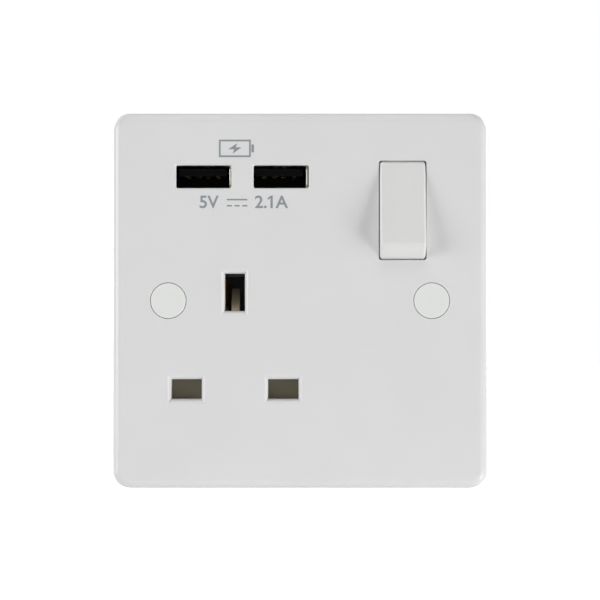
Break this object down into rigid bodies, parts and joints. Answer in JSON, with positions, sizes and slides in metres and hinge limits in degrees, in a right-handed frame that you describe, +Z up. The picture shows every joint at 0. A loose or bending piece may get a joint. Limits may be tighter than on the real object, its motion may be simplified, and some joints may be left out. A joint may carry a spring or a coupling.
{
  "type": "usb wall socket",
  "caption": "Switched 13 A wall socket on a square white plate, with shuttered pin slots, a rocker switch and USB-A charging ports, held by capped fixing screws.",
  "frame": {"origin": "On the wall plane, which is the rear rim of the plate, midway between the two fixing screws.", "axes": "X to the right seen from the front, Z up, and the front faces -Y, so +Y goes into the wall."},
  "size_m": [0.086, 0.034, 0.086],
  "materials": {
    "white_moulding": "smooth glossy urea moulding",
    "housing_plastic": "fine matt texture",
    "brass": "stamped",
    "plated_steel": "zinc plated",
    "plunger_nylon": "natural nylon",
    "spring_steel": "drawn wire",
    "silver_alloy": "dull silver",
    "shutter_nylon": "matt grey nylon",
    "tin_plate": "bright tin plate",
    "black_insulator": "matt black moulding",
    "gold_plate": "gold flash",
    "circuit_board": "green solder mask",
    "ferrite": "sintered",
    "winding_tape": "yellow tape",
    "capacitor_sleeve": "shrink sleeve",
    "blue_ceramic": "dipped coating",
    "chip_epoxy": "moulded epoxy",
    "resistor_body": "green lacquer"
  },
  "bodies": {
    "housing": {"front_plate": "white_moulding", "rear_base": "housing_plastic", "contact_cover": "housing_plastic", "live_contact": "brass", "supply_contact": "brass", "neutral_contact": "brass", "earth_contact": "brass", "live_terminal": "brass", "neutral_terminal": "brass", "earth_terminal": "brass", "joining_screws": "plated_steel", "fixing_screw_left": "plated_steel", "fixing_screw_right": "plated_steel", "shutter_spring": "spring_steel", "fixed_tip": "silver_alloy", "usb_shell_left": "tin_plate", "usb_shell_right": "tin_plate", "usb_insulator_left": "black_insulator", "usb_insulator_right": "black_insulator", "usb_strips_left": "gold_plate", "usb_strips_right": "gold_plate", "usb_board": "circuit_board", "transformer_core": "ferrite", "transformer_winding": "winding_tape", "input_capacitors": "capacitor_sleeve", "output_capacitor": "capacitor_sleeve", "safety_capacitor": "blue_ceramic", "controller_chip": "chip_epoxy", "fuse_resistor": "resistor_body", "bridge_rectifier": "chip_epoxy"},
    "rocker_switch": {"rocker": "white_moulding", "rocker_plunger": "plunger_nylon", "rocker_spring": "spring_steel"},
    "rocking_contact": {"moving_contact": "brass", "moving_tip": "silver_alloy"},
    "shutter_slider": {"shutter": "shutter_nylon"},
    "left_cap": {"screw_cap_left": "white_moulding"},
    "right_cap": {"screw_cap_right": "white_moulding"},
    "live_clamp": {"live_clamp_screw": "plated_steel"},
    "neutral_clamp": {"neutral_clamp_screw": "plated_steel"},
    "earth_clamp": {"earth_clamp_screw": "plated_steel"}
  },
  "joints": [
    {"name": "rocker_tilt", "type": "hinge", "parent": "housing", "child": "rocker_switch", "pos_m": [0.0235, -0.003, 0.02067], "axis": [1, 0, 0], "range_deg": [0, 21.6]},
    {"name": "contact_rock", "type": "hinge", "parent": "housing", "child": "rocking_contact", "pos_m": [0.0235, 0.0073, 0.02067], "axis": [1, 0, 0], "range_deg": [-20, 0]},
    {"name": "shutter_slide", "type": "slide", "parent": "housing", "child": "shutter_slider", "axis": [0, 0, -1], "range_m": [0, 0.0055], "stiffness_N_per_m": 150, "springref_m": -0.003, "deforming": ["shutter_spring"]},
    {"name": "left_cap_lift", "type": "slide", "parent": "housing", "child": "left_cap", "axis": [0, -1, 0], "range_m": [0, 0.008]},
    {"name": "right_cap_lift", "type": "slide", "parent": "housing", "child": "right_cap", "axis": [0, -1, 0], "range_m": [0, 0.008]},
    {"name": "live_clamp_travel", "type": "slide", "parent": "housing", "child": "live_clamp", "axis": [0, -1, 0], "range_m": [0, 0.003]},
    {"name": "neutral_clamp_travel", "type": "slide", "parent": "housing", "child": "neutral_clamp", "axis": [0, -1, 0], "range_m": [0, 0.003]},
    {"name": "earth_clamp_travel", "type": "slide", "parent": "housing", "child": "earth_clamp", "axis": [0, -1, 0], "range_m": [0, 0.003]}
  ],
  "couplings": [
    {"joint": "contact_rock", "follows": "rocker_tilt", "ratio": -0.9259}
  ]
}
